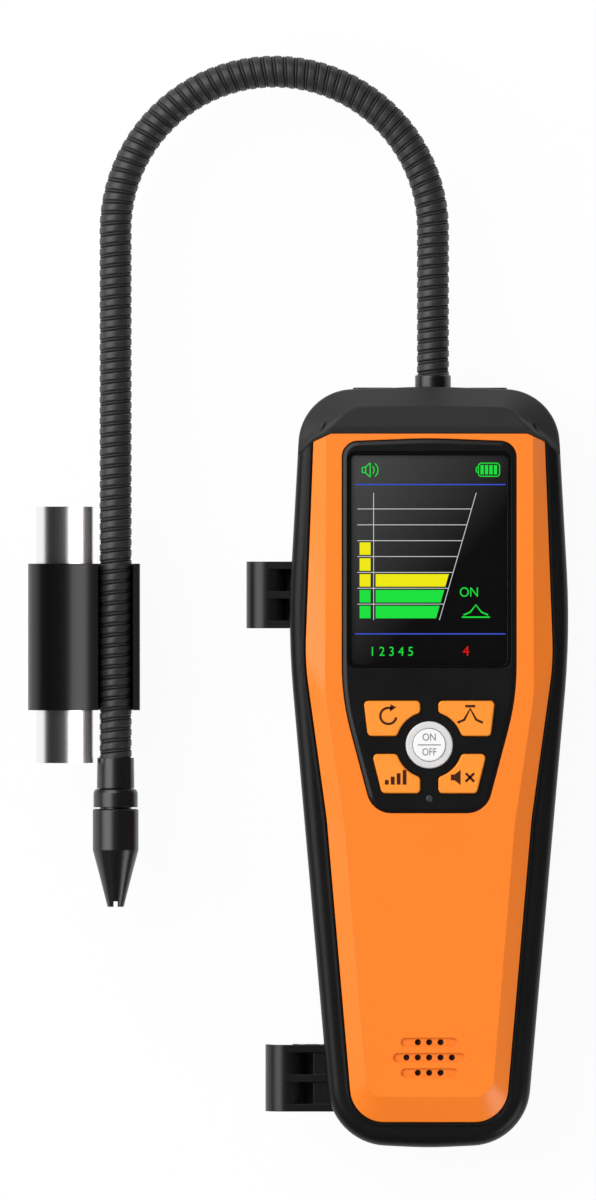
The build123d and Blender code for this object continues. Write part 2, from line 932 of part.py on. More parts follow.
def make_port_cover():
    """Rubber plug over the charging socket."""
    cover = extrude(pad_face(port_x), -pad_recess) + extrude(pad_face(port_x), pad_proud)
    cover = fillet(cover.edges().group_by(Axis.Y)[-1], pad_edge)
    end = end_y(port_x) - pad_recess
    inset = socket_wall + plug_gap
    half, rise = socket_width / 2 - inset, socket_height / 2 - inset
    low = end - plug_length
    plug = block((port_x - half, port_x + half), (low, end), (pad_z - rise, pad_z + rise))
    return cover + fillet(plug.edges().filter_by(Axis.Y), mouth_round_share * rise)


def make_vent_cover():
    """Slotted plate over the pump's outlet."""
    cover = extrude(pad_face(vent_x), -pad_recess) + extrude(pad_face(vent_x), pad_proud)
    cover = fillet(cover.edges().group_by(Axis.Y)[-1], pad_edge)
    half, rise = vent_slot[0] / 2, vent_slot[1] / 2
    for step in (-1, 0, 1):
        x = vent_x + vent_slot_pitch * step
        y = (top_y - wall, top_y + past)
        cover -= block((x - half, x + half), y, (pad_z - rise, pad_z + rise))
    return cover


def make_gooseneck_collar():
    """Flanged collar with a round cup for the root of the gooseneck."""
    flange_low = collar_seat - collar_flange_thickness
    collar = rod_along_y(neck_x, neck_z, flange_low, collar_seat, collar_flange)
    collar += rod_along_y(neck_x, neck_z, collar_seat, top_y + collar_height, collar_radius)
    rim = collar.edges().group_by(Axis.Y)[-1]
    collar = fillet(rim, collar_edge)
    collar -= rod_along_y(neck_x, neck_z, tail_y, top_y + 2 * collar_height, neck_bore)
    return collar - Pos(neck_x, pivot_y, neck_z) * Sphere(neck_radius + bend_gap)


def loop_quarter(radius, start_angle):
    """Quarter turn of the gooseneck's loop."""
    centre = Pos(crown_x, loop_y, neck_z)
    unmoved = (Align.NONE, Align.NONE, Align.NONE)
    return centre * Rot(Z=start_angle) * Torus(loop_radius, radius, major_angle=90, align=unmoved)


def lower_run(radius, low_y):
    """Right leg and the first quarter of the loop, at a given radius."""
    return rod_along_y(neck_x, neck_z, low_y, loop_y, radius) + loop_quarter(radius, 0)


def make_gooseneck_lower():
    """Gooseneck from its root in the collar to the crown, ball ended."""
    neck = lower_run(neck_radius, pivot_y)
    neck += Pos(neck_x, pivot_y, neck_z) * Sphere(neck_radius)
    neck += Pos(crown_x, crown_y, neck_z) * Sphere(neck_radius)
    bore = lower_run(neck_bore, pivot_y - 2 * neck_radius)
    past_crown = crown_x - 2 * neck_radius
    bore += Pos((crown_x + past_crown) / 2, crown_y, neck_z) * Rot(Y=90) * Cylinder(
        neck_bore, crown_x - past_crown
    )
    return neck - bore


def make_gooseneck_upper():
    """Gooseneck from its cup at the crown down the long leg."""
    def run(radius):
        leg = rod_along_y(leg_x, neck_z, leg_end_y, loop_y, radius)
        return leg + loop_quarter(radius, 90)

    cup_x = crown_x - bend_rise - cup_gap
    half = loop_radius / 2
    keep_clear = block(
        (cup_x, crown_x + half), (crown_y - half, crown_y + half), (neck_z - half, neck_z + half)
    )
    neck = run(neck_radius) - run(neck_bore) - keep_clear
    return neck - Pos(crown_x, crown_y, neck_z) * Sphere(neck_radius + bend_gap)


def turned(points, y_start):
    """Part turned on the probe's axis from (radius, distance down the probe) points."""
    outline = [(leg_x + r, y_start - d) for r, d in points]
    face = Pos(0, 0, neck_z) * make_face(Polyline(*outline, close=True).edges())
    return revolve(face, Axis((leg_x, 0, neck_z), (0, 1, 0)))


def make_probe_sleeve():
    """Sleeve over the end of the gooseneck, with the spigot that carries the nozzle."""
    top = leg_end_y + sleeve_grip
    spigot = nozzle_radius - nozzle_wall
    length = sleeve_length + ring_length
    points = [
        (neck_bore, sleeve_grip + sleeve_stop_gap),
        (neck_radius + fit, sleeve_grip + sleeve_stop_gap),
        (neck_radius + fit, 0),
        (sleeve_radius - sleeve_taper, 0),
        (sleeve_radius, sleeve_length),
        (spigot, sleeve_length),
        (spigot, length + spigot_length),
        (neck_bore, length + spigot_length),
    ]
    return turned(points, top)


def make_probe_ring():
    """Shouldered ring on the spigot."""
    top = leg_end_y + sleeve_grip - sleeve_length - seat_gap
    bore = nozzle_radius - nozzle_wall + fit
    end_in, edge_in, edge_down, side_down = ring_step
    points = [
        (bore, 0),
        (ring_radius - end_in, 0),
        (ring_radius - edge_in, edge_down),
        (ring_radius, side_down),
        (ring_radius, ring_length - seat_gap),
        (bore, ring_length - seat_gap),
    ]
    return turned(points, top)


def make_probe_nozzle():
    """Nozzle that turns on the spigot, with a slotted tip."""
    top = leg_end_y + sleeve_grip - sleeve_length - ring_length - nozzle_gap
    bore = nozzle_radius - nozzle_wall + fit
    shoulder_in, shoulder_share = nozzle_shoulder
    wide_share, narrow_share = nozzle_throat_share
    points = [
        (bore, 0),
        (nozzle_radius - nozzle_edge, 0),
        (nozzle_radius, nozzle_edge),
        (nozzle_radius, nozzle_body),
        (nozzle_radius - shoulder_in, nozzle_body + shoulder_share * nozzle_cone),
        (nozzle_tip, nozzle_body + nozzle_cone),
        (tip_bore, nozzle_body + nozzle_cone),
        (tip_bore, nozzle_body + narrow_share * nozzle_cone),
        (bore - nozzle_throat, nozzle_body + wide_share * nozzle_cone),
        (bore, nozzle_body),
    ]
    nozzle = turned(points, top)
    tip_y = top - nozzle_body - nozzle_cone
    half = slot_across / 2
    slot_y = (tip_y - past, tip_y + slot_deep)
    slot_z = (neck_z - nozzle_radius, neck_z + nozzle_radius)
    return nozzle - block((leg_x - half, leg_x + half), slot_y, slot_z)


def make_probe_filter():
    """Round filter held in the nozzle."""
    end = leg_end_y + sleeve_grip - sleeve_length - ring_length - spigot_length - seat_gap
    low = end + spigot_length - nozzle_body
    return rod_along_y(leg_x, neck_z, low, end, nozzle_radius - nozzle_wall - fit)


def clip_places():
    """Low and high Y of the pipe clip, and X of its tube."""
    high = loop_y - clip_from_crown
    return high - clip_length, high, leg_x - tube_offset


def make_pipe_clip():
    """Round sleeve for the tube and an open channel that grips the gooseneck."""
    low, high, tube_x = clip_places()
    sleeve_bore = tube_radius + fit
    channel = neck_radius + channel_gap
    outer = channel + channel_wall
    clip = rod_along_y(tube_x, neck_z, low, high, sleeve_bore + sleeve_wall)
    left = tube_x + sleeve_bore + sleeve_wall - channel_overlap
    clip += block((left, leg_x + outer), (low, high), (neck_z - outer, neck_z + channel_lip))
    ends = (low - past, high + past)
    clip -= rod_along_y(tube_x, neck_z, *ends, sleeve_bore)
    clip -= rod_along_y(leg_x, neck_z, *ends, channel)
    return clip - block((leg_x - channel, leg_x + channel), ends, (neck_z, neck_z + 2 * outer))


def make_clip_tube():
    """Polished tube held in the clip's sleeve."""
    low, high, tube_x = clip_places()
    top = high + tube_overhang
    bottom = top - tube_length
    tube = rod_along_y(tube_x, neck_z, bottom, top, tube_radius)
    return tube - rod_along_y(tube_x, neck_z, bottom - past, top + past, tube_radius - tube_wall)


def stow_mouth_cut(x, low, high):
    """Wedge that opens a stow clip downwards and a little away from the case."""
    points = [(0, 0)]
    for side in (1, -1):
        angle = radians(stow_mouth_turn - side * stow_mouth / 2)
        points.append((-mouth_reach * sin(angle), -mouth_reach * cos(angle)))
    end_plane = Plane((x, high + past, neck_z), x_dir=(1, 0, 0), z_dir=(0, -1, 0))
    wedge = end_plane * make_face(Polyline(*points, close=True).edges())
    return extrude(wedge, high - low + 2 * past)


def make_stow_clip(centre_y, reach):
    """C-shaped clip on the side of the case, on a box arm with two deep pockets."""
    outer = stow_inner + stow_wall
    x = outer - reach
    low, high = centre_y - stow_length / 2, centre_y + stow_length / 2
    top_z = neck_z + outer
    low_z = neck_z - under_arm_z
    ring = rod_along_y(x, neck_z, low, high, outer)
    arms = block((x, 0), (low, high), (top_z - arm_thickness, top_z))
    arms += block((x + stow_inner - under_arm_root, 0), (low, high), (low_z, low_z + arm_thickness))
    plate = block((-reach, 0), (low, high), (low_z, top_z))
    plate &= slab(offset(case_face(), stow_plate), 0, case_depth)
    clip = ring + arms + plate
    clip -= rod_along_y(x, neck_z, low - past, high + past, stow_inner)
    clip -= stow_mouth_cut(x, low, high)
    pocket = (stow_length - 3 * stow_rib) / 2
    pocket_x = x + stow_pocket_end
    for side in (-1, 1):
        middle = centre_y + side * (stow_rib + pocket) / 2
        y = (middle - pocket / 2, middle + pocket / 2)
        between = block((x, pocket_x), y, (low_z + arm_thickness, top_z + past))
        clip -= between - rod_along_y(x, neck_z, low, high, outer)
        clip -= block((pocket_x, 0), y, (top_z - stow_relief, top_z + past))
    return clip - slab(case_face(), 0, case_depth)


def all_nodes():
    """Every sub-part by name."""
    nodes = {
        "rear_shell": make_rear_shell(),
        "bumper_frame": make_bumper_frame(),
        "top_cap": make_top_cap(),
        "front_shell": make_front_shell(),
        "display_bezel": make_display_bezel(),
        "display_window": make_display_window(),
        "lcd_panel": make_lcd_panel(),
        "power_key": make_power_key(),
        "power_ring": make_power_ring(),
        "status_light": make_status_light(),
        "main_board": make_main_board(),
        "key_switches": make_key_switches(),
        "speaker": make_speaker(),
        "case_screws": make_case_screws(),
        "board_screws": make_board_screws(),
        "battery_pack": make_battery_pack(),
        "pump_motor": make_pump_motor(),
        "air_pump": make_air_pump(),
        "ir_cell": make_ir_cell(),
        "ir_lamp": make_cell_end(-1),
        "ir_detector": make_cell_end(1),
        "sample_hose": make_sample_hose(),
        "cell_hose": make_cell_hose(),
        "exhaust_hose": make_exhaust_hose(),
        "charge_socket": make_charge_socket(),
        "port_cover": make_port_cover(),
        "vent_cover": make_vent_cover(),
        "gooseneck_collar": make_gooseneck_collar(),
        "gooseneck_lower": make_gooseneck_lower(),
        "gooseneck_upper": make_gooseneck_upper(),
        "probe_sleeve": make_probe_sleeve(),
        "probe_ring": make_probe_ring(),
        "probe_nozzle": make_probe_nozzle(),
        "probe_filter": make_probe_filter(),
        "pipe_clip": make_pipe_clip(),
        "clip_tube": make_clip_tube(),
        "stow_clip_upper": make_stow_clip(top_y - stow_upper_from_top, stow_upper_reach),
        "stow_clip_lower": make_stow_clip(tail_y + stow_lower_from_tail, stow_lower_reach),
    }
    for name in key_names:
        nodes["key_" + name] = make_key(name)
    return nodes


def write_nodes():
    """Write one STEP file for each sub-part."""
    os.makedirs("parts", exist_ok=True)
    for name, shape in all_nodes().items():
        if isinstance(shape, list):
            shape = Compound(children=[solid for part in shape for solid in part.solids()])
        export_step(shape, f"parts/{name}.step")
        print(name, len(shape.solids()), round(shape.volume, 1))


write_nodes()
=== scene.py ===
import json
import math

import bpy
import bmesh
from mathutils import Matrix, Vector


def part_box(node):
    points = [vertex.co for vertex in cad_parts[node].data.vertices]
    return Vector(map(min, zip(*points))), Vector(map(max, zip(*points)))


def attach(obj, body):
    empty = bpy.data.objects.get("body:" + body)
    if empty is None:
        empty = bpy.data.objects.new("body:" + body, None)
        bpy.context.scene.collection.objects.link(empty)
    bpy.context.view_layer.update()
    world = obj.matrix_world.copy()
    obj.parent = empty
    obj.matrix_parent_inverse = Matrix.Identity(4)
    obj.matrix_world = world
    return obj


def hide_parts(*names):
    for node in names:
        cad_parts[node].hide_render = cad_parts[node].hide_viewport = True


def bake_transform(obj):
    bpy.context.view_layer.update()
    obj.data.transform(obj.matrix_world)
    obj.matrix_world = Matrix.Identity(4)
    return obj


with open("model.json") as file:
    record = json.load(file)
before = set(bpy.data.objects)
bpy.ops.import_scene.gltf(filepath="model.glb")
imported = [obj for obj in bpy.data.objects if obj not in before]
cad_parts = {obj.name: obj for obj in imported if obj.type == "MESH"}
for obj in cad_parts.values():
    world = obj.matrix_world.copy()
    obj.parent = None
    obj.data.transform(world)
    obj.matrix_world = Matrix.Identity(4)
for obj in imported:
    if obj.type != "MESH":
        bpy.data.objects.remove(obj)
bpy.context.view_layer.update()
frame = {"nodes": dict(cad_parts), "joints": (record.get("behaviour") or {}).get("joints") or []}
mm = 0.001


def say(stage):
    print("stage:", stage)


# Colours

def grey(level):
    return (level, level, level, 1)


def darker(colour, share):
    return tuple(share * part for part in colour[:3]) + (1,)


# Node trees

class Value:
    # wraps an output socket, so that Python's operators add Math nodes
    def __init__(self, tree, socket):
        self.tree, self.socket = tree, socket

    def math(self, operation, first, second=0.0):
        return self.tree.add("ShaderNodeMath", {"operation": operation}, {0: first, 1: second})

    def __add__(self, other):
        return self.math("ADD", self, other)

    def __radd__(self, other):
        return self.math("ADD", other, self)

    def __sub__(self, other):
        return self.math("SUBTRACT", self, other)

    def __rsub__(self, other):
        return self.math("SUBTRACT", other, self)

    def __mul__(self, other):
        return self.math("MULTIPLY", self, other)

    def __rmul__(self, other):
        return self.math("MULTIPLY", other, self)

    def __truediv__(self, other):
        return self.math("DIVIDE", self, other)

    def __rtruediv__(self, other):
        return self.math("DIVIDE", other, self)

    def larger(self, other):
        return self.math("MAXIMUM", self, other)

    def above(self, edge):
        return self.math("GREATER_THAN", self, edge)

    def fract(self):
        return self.math("FRACT", self)

    def absolute(self):
        return self.math("ABSOLUTE", self)


class Tree:
    # an emptied shader or geometry tree, whose nodes all come from node()
    def __init__(self, tree):
        self.tree = tree
        tree.nodes.clear()

    def node(self, kind, settings=None, sockets=None):
        node = self.tree.nodes.new(kind)
        for name, setting in (settings or {}).items():
            if name == "curve":
                self.setCurve(node.mapping, setting)
            else:
                setattr(node, name, setting)
        for key, given in (sockets or {}).items():
            self.feed(node.inputs[key], given)
        return node

    def add(self, kind, settings=None, sockets=None, out=0):
        # one output of a new node, by its name or its place among those in use
        outputs = self.node(kind, settings, sockets).outputs
        if isinstance(out, str):
            return Value(self, outputs[out])
        return Value(self, [socket for socket in outputs if socket.enabled][out])

    def several(self, kind, wanted, sockets=None):
        # several outputs of a new node
        outputs = self.node(kind, {}, sockets).outputs
        return [Value(self, outputs[key]) for key in wanted]

    def feed(self, socket, given):
        if isinstance(given, Value):
            self.tree.links.new(given.socket, socket)
        else:
            socket.default_value = given

    def setCurve(self, mapping, points):
        line = mapping.curves[0]
        line.points[0].location, line.points[1].location = points[0], points[-1]
        for point in points[1:-1]:
            line.points.new(*point)
        for point in line.points:
            point.handle_type = "AUTO_CLAMPED"
        mapping.update()


class Finish(Tree):
    # a material with one Principled shader and its patterns in Object coordinates
    def __init__(self, name, **constants):
        self.material = bpy.data.materials.new(name)
        self.material.use_nodes = True
        super().__init__(self.material.node_tree)
        self.shader = self.node("ShaderNodeBsdfPrincipled")
        self.out = self.node("ShaderNodeOutputMaterial")
        self.tree.links.new(self.shader.outputs[0], self.out.inputs[0])
        self.place = self.add("ShaderNodeTexCoord", out="Object")
        for key, given in constants.items():
            self.set(key, given)

    def set(self, key, given):
        self.feed(self.shader.inputs[key.replace("_", " ")], given)

    def noise(self, scale, detail=3.0, roughness=0.5):
        return self.add("ShaderNodeTexNoise", {}, {
            "Vector": self.place, "Scale": scale, "Detail": detail, "Roughness": roughness})

    def cells(self, scale):
        return self.add("ShaderNodeTexVoronoi", {}, {"Vector": self.place, "Scale": scale})

    def axes(self):
        return self.several("ShaderNodeSeparateXYZ", range(3), {0: self.place})

    def attribute(self, name):
        return self.add("ShaderNodeAttribute", {"attribute_name": name}, out="Fac")

    def between(self, factor, low, high):
        # a number that runs from low to high as the factor goes from 0 to 1
        return self.add("ShaderNodeMapRange", {"clamp": True}, {0: factor, 3: low, 4: high})

    def mixColour(self, factor, first, second):
        return self.add("ShaderNodeMix", {"data_type": "RGBA"}, {0: factor, 6: first, 7: second})

    def bump(self, height, strength, distance, over=None):
        sockets = {"Height": height, "Strength": strength, "Distance": distance}
        if over:
            sockets["Normal"] = over
        return self.add("ShaderNodeBump", {}, sockets)

    def softEdges(self, radius):
        return self.add("ShaderNodeBevel", {"samples": 4}, {"Radius": radius})


# Mouldings: two tones that drift slowly, under the fine grain of the mould

mouldings = {
    "caseBlack": {"tones": (grey(0.006), grey(0.011)), "index": 1.48, "shine": 0.5, "rough": (0.37, 0.48),
                  "drift": (60, 4), "grain": (2600, 2, 0.6), "bump": (0.25, 0.02 * mm), "edge": 0.3 * mm},
    "frameBlack": {"tones": (grey(0.005), grey(0.009)), "index": 1.48, "shine": 0.2, "rough": (0.29, 0.40),
                   "drift": (60, 4), "grain": (3200, 2, 0.6), "bump": (0.25, 0.01 * mm), "edge": 0.5 * mm},
    "capBlack": {"tones": (grey(0.027), grey(0.033)), "index": 1.48, "shine": 0.15, "rough": (0.27, 0.38),
                 "drift": (60, 4), "grain": (3200, 2, 0.6), "bump": (0.25, 0.01 * mm), "edge": 0.8 * mm},
    "clipBlack": {"tones": (grey(0.004), grey(0.008)), "index": 1.48, "shine": 0.5, "rough": (0.27, 0.38),
                  "drift": (60, 4), "grain": (3000, 2, 0.6), "bump": (0.25, 0.01 * mm), "edge": 0.3 * mm},
    "probeBlack": {"tones": (grey(0.004), grey(0.008)), "index": 1.48, "shine": 0.7, "rough": (0.25, 0.36),
                   "drift": (60, 4), "grain": (3600, 2, 0.6), "bump": (0.25, 0.01 * mm), "edge": 0.3 * mm},
    "frontOrange": {"tones": ((0.93, 0.205, 0.012, 1), (0.97, 0.225, 0.016, 1)), "index": 1.47, "shine": 0.5,
                    "rough": (0.30, 0.40), "drift": (28, 3), "grain": (3800, 2, 0.6),
                    "bump": (0.2, 0.01 * mm), "edge": 0.35 * mm},
    "keyOrange": {"tones": ((0.93, 0.265, 0.016, 1), (0.97, 0.29, 0.020, 1)), "index": 1.43, "shine": 0.5,
                  "rough": (0.46, 0.60), "drift": (90, 3), "grain": (4200, 2),
                  "bump": (0.25, 0.01 * mm), "edge": 0.3 * mm},
}


def moulded(name):
    look = mouldings[name]
    finish = Finish(name, IOR=look["index"], Specular_IOR_Level=look["shine"])
    finish.set("Base_Color", finish.mixColour(finish.noise(*look["drift"]), *look["tones"]))
    grain = finish.noise(*look["grain"])
    finish.set("Roughness", finish.between(grain, *look["rough"]))
    finish.set("Normal", finish.bump(grain, *look["bump"], finish.softEdges(look["edge"])))
    return finish.material


# Clouded finishes: one soft cloud drives the tone, the roughness and the waviness

cloudedLooks = {
    "bezelGloss": {"tones": (grey(0.006), grey(0.010)), "rough": (0.20, 0.30), "cloud": (130, 4),
                   "shine": 0.25, "bump": (0.05, 0.02 * mm), "edge": 0.3 * mm},
    "ringFrosted": {"tones": (grey(0.62), grey(0.70)), "rough": (0.30, 0.42), "cloud": (260, 3),
                    "index": 1.46, "edge": 0.3 * mm},
    "keyWhite": {"tones": (grey(0.82), grey(0.88)), "rough": (0.32, 0.44), "cloud": (220, 3),
                 "index": 1.46, "edge": 0.3 * mm},
}


def clouded(name, look):
    finish = Finish(name, IOR=look.get("index", 1.5), Specular_IOR_Level=look.get("shine", 0.5),
                    Metallic=look.get("metal", 0.0))
    cloud = finish.noise(*look["cloud"])
    finish.set("Base_Color", finish.mixColour(cloud, *look["tones"]))
    finish.set("Roughness", finish.between(cloud, *look["rough"]))
    normal = finish.softEdges(look["edge"]) if "edge" in look else None
    if "bump" in look:
        normal = finish.bump(cloud, *look["bump"], normal)
    if normal:
        finish.set("Normal", normal)
    return finish.material


roughSpread = 0.12  # how much duller a plain metal or plastic is where its cloud is full


def plainMetal(name, tone, rough, scale=1800):
    return clouded(name, {"tones": (tone, darker(tone, 0.85)), "rough": (rough, rough + roughSpread),
                          "cloud": (scale, 3), "metal": 1.0, "bump": (0.1, 0.01 * mm)})


def plainPlastic(name, tone, rough, scale=300):
    return clouded(name, {"tones": (tone, darker(tone, 0.8)), "rough": (rough, rough + roughSpread),
                          "cloud": (scale, 3), "index": 1.46, "bump": (0.1, 0.02 * mm)})


def inkPrint(name, tone):
    return clouded(name, {"tones": (tone, darker(tone, 0.8)), "rough": (0.5, 0.65),
                          "cloud": (2400, 2), "index": 1.45, "shine": 0.2})


# Window and screen

windowLook = {"margin": 0.25 * mm, "tone": 0.004, "shine": 0.3, "smear": (90, 4),
              "rough": (0.08, 0.16), "clearAlpha": 0.05}


def clearWindow():
    # hard-coated clear window with a black printed margin
    look = windowLook
    finish = Finish("windowClear", Base_Color=grey(look["tone"]), Specular_IOR_Level=look["shine"])
    finish.set("Roughness", finish.between(finish.noise(*look["smear"]), *look["rough"]))
    low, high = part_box("display_window")
    middle = (low + high) / 2
    halfWidth = displayPicture["width"] / 2 * mm + look["margin"]
    halfHeight = displayPicture["height"] / 2 * mm + look["margin"]
    across, up, _ = finish.axes()
    besides = (across - middle.x).absolute().above(halfWidth)
    beyond = (up - middle.y).absolute().above(halfHeight)
    finish.set("Alpha", finish.between(besides.larger(beyond), look["clearAlpha"], 1.0))
    return finish.material


screenLook = {"dark": 0.002, "light": 0.045, "fade": 0.9, "lift": 0.15, "glow": 0.5, "shine": 0.1,
              "pixels": 4200, "pixelTone": 0.01, "pixelShare": 0.1}


def litScreen():
    # dark screen with a painted reflection: its colour and glow grow greyer towards its upper left
    look = screenLook
    finish = Finish("screenDark", IOR=1.45, Roughness=0.35, Specular_IOR_Level=look["shine"],
                    Emission_Strength=look["glow"])
    low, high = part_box("display_window")
    across, up, _ = finish.axes()
    side = (across - low.x) / (high.x - low.x)
    height = (up - low.y) / (high.y - low.y)
    # painted reflection: the base and emission colour lighten towards the upper left by place on the screen
    paintedGlareShare = finish.between(height - side * look["fade"] + look["lift"], 0.0, 1.0)
    paintedGlareTone = finish.mixColour(paintedGlareShare, grey(look["dark"]), grey(look["light"]))
    pixels = finish.cells(look["pixels"]) * look["pixelShare"]
    finish.set("Base_Color", finish.mixColour(pixels, paintedGlareTone, grey(look["pixelTone"])))
    finish.set("Emission_Color", paintedGlareTone)
    return finish.material


glowLook = {"cells": 5200, "dimmed": 0.9, "rough": 0.6}
glowColours = {
    "green": (0.015, 0.88, 0.06, 1),
    "yellow": (1.0, 0.94, 0.01, 1),
    "red": (0.85, 0.01, 0.01, 1),
    "blue": (0.05, 0.10, 0.66, 1),
    "white": (0.75, 0.75, 0.78, 1),
}


def glow(colour):
    # lit pixels: the colour dims slightly from the middle of each pixel
    look, tone = glowLook, glowColours[colour]
    finish = Finish("pixels" + colour.capitalize(), Base_Color=grey(0.0), Roughness=look["rough"],
                    Specular_IOR_Level=0.0, Emission_Strength=1.0)
    cells = finish.cells(look["cells"])
    finish.set("Emission_Color", finish.mixColour(cells, tone, darker(tone, look["dimmed"])))
    return finish.material


# Gooseneck rubber, tube and board

ribLook = {"crest": (0.020, 0.032), "groove": 0.002, "shine": 0.45, "rough": (0.38, 0.85),
           "dust": (420, 4), "dustShare": 0.2, "bump": (0.2, 0.03 * mm)}


def ribRubber():
    # satin crests; dull grooves whose base colour is darkened as a painted shade
    look = ribLook
    finish = Finish("gooseneckRibs", Specular_IOR_Level=look["shine"])
    depth = finish.attribute("grooveDepth")
    dust = finish.noise(*look["dust"])
    crest = finish.mixColour(dust, *[grey(tone) for tone in look["crest"]])
    # painted shade: the base colour darkens towards the groove shade where the grooves dip
    finish.set("Base_Color", finish.mixColour(depth, crest, grey(look["groove"])))
    finish.set("Roughness", finish.between(depth + dust * look["dustShare"], *look["rough"]))
    finish.set("Normal", finish.bump(dust, *look["bump"]))
    return finish.material


tubeLook = {"tone": (0.93, 0.93, 0.94, 1), "lines": 900, "scale": 6.0, "rough": (0.24, 0.34),
            "bump": (0.03, 0.01 * mm)}


def polishedTube():
    # chrome with drawing lines along it, too fine to see from afar
    look = tubeLook
    finish = Finish("tubePolished", Metallic=1.0, Base_Color=look["tone"])
    across, _, deep = finish.axes()
    section = finish.add("ShaderNodeCombineXYZ", {}, {0: across * look["lines"], 1: deep * look["lines"]})
    lines = finish.add("ShaderNodeTexNoise", {"noise_dimensions": "2D"}, {
        "Vector": section, "Scale": look["scale"], "Detail": 3.0})
    finish.set("Roughness", finish.between(lines, *look["rough"]))
    finish.set("Normal", finish.bump(lines, *look["bump"]))
    return finish.material


boardLook = {"mask": (0.01, 0.12, 0.04, 1), "overCopper": (0.02, 0.22, 0.08, 1), "rough": (0.3, 0.45),
             "tracks": 180.0, "trackGap": 0.03, "bump": (0.2, 0.03 * mm)}


def solderMask():
    # green board, brighter where copper tracks run under the mask
    look = boardLook
    finish = Finish("boardMask")
    tracks = finish.add("ShaderNodeTexBrick", {}, {
        "Vector": finish.place, "Scale": look["tracks"], "Mortar Size": look["trackGap"]}, out=1)
    finish.set("Base_Color", finish.mixColour(tracks, look["mask"], look["overCopper"]))
    finish.set("Roughness", finish.between(tracks, *look["rough"]))
    finish.set("Normal", finish.bump(tracks, *look["bump"]))
    return finish.material


def paintNodes():
    # one finish for each CAD node; the four orange keys share theirs
    case, bumper, cap = moulded("caseBlack"), moulded("frameBlack"), moulded("capBlack")
    clip, probe = moulded("clipBlack"), moulded("probeBlack")
    keys = moulded("keyOrange")
    steel = plainMetal("platedSteel", (0.62, 0.62, 0.64, 1), 0.28)
    zinc = plainMetal("screwZinc", (0.40, 0.40, 0.42, 1), 0.35)
    silicone = plainPlastic("hoseSilicone", (0.72, 0.72, 0.68, 1), 0.35)
    finishes = {
        "rear_shell": case,
        "bumper_frame": bumper,
        "top_cap": cap,
        "front_shell": moulded("frontOrange"),
        "display_bezel": clouded("bezelGloss", cloudedLooks["bezelGloss"]),
        "display_window": clearWindow(),
        "lcd_panel": litScreen(),
        "power_ring": clouded("ringFrosted", cloudedLooks["ringFrosted"]),
        "power_key": clouded("keyWhite", cloudedLooks["keyWhite"]),
        "status_light": plainPlastic("lightPipe", (0.05, 0.05, 0.055, 1), 0.15),
        "main_board": solderMask(),
        "key_switches": steel,
        "speaker": plainPlastic("speakerBlack", grey(0.02), 0.5),
        "case_screws": zinc,
        "board_screws": zinc,
        "battery_pack": plainPlastic("batteryWrap", (0.03, 0.09, 0.30, 1), 0.25),
        "pump_motor": steel,
        "air_pump": plainPlastic("pumpBlack", grey(0.03), 0.45),
        "ir_cell": plainMetal("cellAlloy", (0.78, 0.78, 0.80, 1), 0.3, 900),
        "ir_lamp": steel,
        "ir_detector": steel,
        "sample_hose": silicone,
        "cell_hose": silicone,
        "exhaust_hose": silicone,
        "charge_socket": steel,
        "port_cover": clip,
        "vent_cover": clip,
        "gooseneck_collar": probe,
        "gooseneck_lower": probe,
        "gooseneck_upper": probe,
        "probe_sleeve": probe,
        "probe_ring": probe,
        "probe_nozzle": probe,
        "probe_filter": plainPlastic("filterWhite", (0.8, 0.8, 0.78, 1), 0.8, 1600),
        "pipe_clip": clip,
        "clip_tube": polishedTube(),
        "stow_clip_upper": clip,
        "stow_clip_lower": clip,
    }
    for name, node in frame["nodes"].items():
        node.data.materials.clear()
        node.data.materials.append(finishes.get(name, keys))


# Gooseneck

gooseneckLook = {
    "pitch": 2.5 * mm,
    "crestRadius": 3.8 * mm,
    "grooveDepth": 0.42 * mm,
    "step": 0.1 * mm,
    "sides": 30,
    "loopSteps": 360,
    # depth of the double groove over one pitch, as shares
    "profile": [(0, 1.0), (0.03, 0.9), (0.07, 0.3), (0.19, 0.3), (0.23, 0.9), (0.27, 1.0),
                (0.31, 0.5), (0.37, 0.1), (0.50, 0.0), (0.80, 0.0), (0.92, 0.1), (0.97, 0.6), (1.0, 1.0)],
    "tuck": 1.5 * mm,        # how far each end goes into the collar and the probe
    "splitTurn": 25.0,       # degrees into the loop where the sleeves meet
    "rootBend": (-2 * mm, 48 * mm),
    "crownBend": 33 * mm,
}


